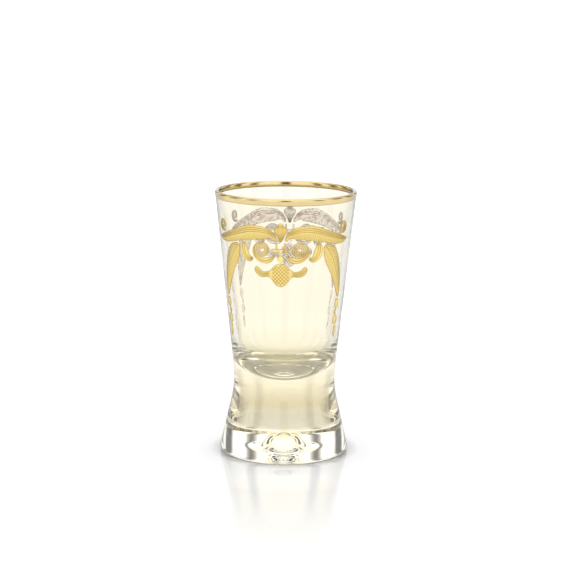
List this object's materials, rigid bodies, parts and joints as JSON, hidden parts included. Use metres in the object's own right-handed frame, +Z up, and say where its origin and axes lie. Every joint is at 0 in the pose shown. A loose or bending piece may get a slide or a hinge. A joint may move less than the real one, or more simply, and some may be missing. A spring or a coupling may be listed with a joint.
{
  "type": "shot glass",
  "caption": "Tall waisted shot glass with a thick solid foot, a dimpled underside, a gold-banded lip and raised gold scroll ornament on its outer wall.",
  "frame": {"origin": "on the ground at the centre of the foot", "axes": "+Z up the glass's axis from foot to lip; -Y is the side that the front motif faces, and +X is to the right of someone who looks at that side"},
  "size_m": [0.048, 0.048, 0.0901],
  "materials": {
    "glass": "clear, fire-polished, with a faint straw tint",
    "bright_gold": "polished fired gold film",
    "matte_gold": "satin raised gold with fine engraved lines"
  },
  "bodies": {
    "root": {"glass_body": "glass", "rim_band": "bright_gold", "front_palmette": "matte_gold", "front_clasp": "matte_gold", "front_pearl": "matte_gold", "front_pendant": "matte_gold", "front_left_arch_leaf": "matte_gold", "front_right_arch_leaf": "matte_gold", "front_left_falling_leaf": "matte_gold", "front_right_falling_leaf": "matte_gold", "front_left_inner_leaf": "matte_gold", "front_right_inner_leaf": "matte_gold", "front_left_volute": "matte_gold", "front_right_volute": "matte_gold", "front_left_outer_curl": "matte_gold", "front_right_outer_curl": "matte_gold", "front_left_drop": "matte_gold", "front_right_drop": "matte_gold", "back_palmette": "matte_gold", "back_clasp": "matte_gold", "back_pearl": "matte_gold", "back_pendant": "matte_gold", "back_left_arch_leaf": "matte_gold", "back_right_arch_leaf": "matte_gold", "back_left_falling_leaf": "matte_gold", "back_right_falling_leaf": "matte_gold", "back_left_inner_leaf": "matte_gold", "back_right_inner_leaf": "matte_gold", "back_left_volute": "matte_gold", "back_right_volute": "matte_gold", "back_left_outer_curl": "matte_gold", "back_right_outer_curl": "matte_gold", "back_left_drop": "matte_gold", "back_right_drop": "matte_gold"}
  },
  "joints": []
}
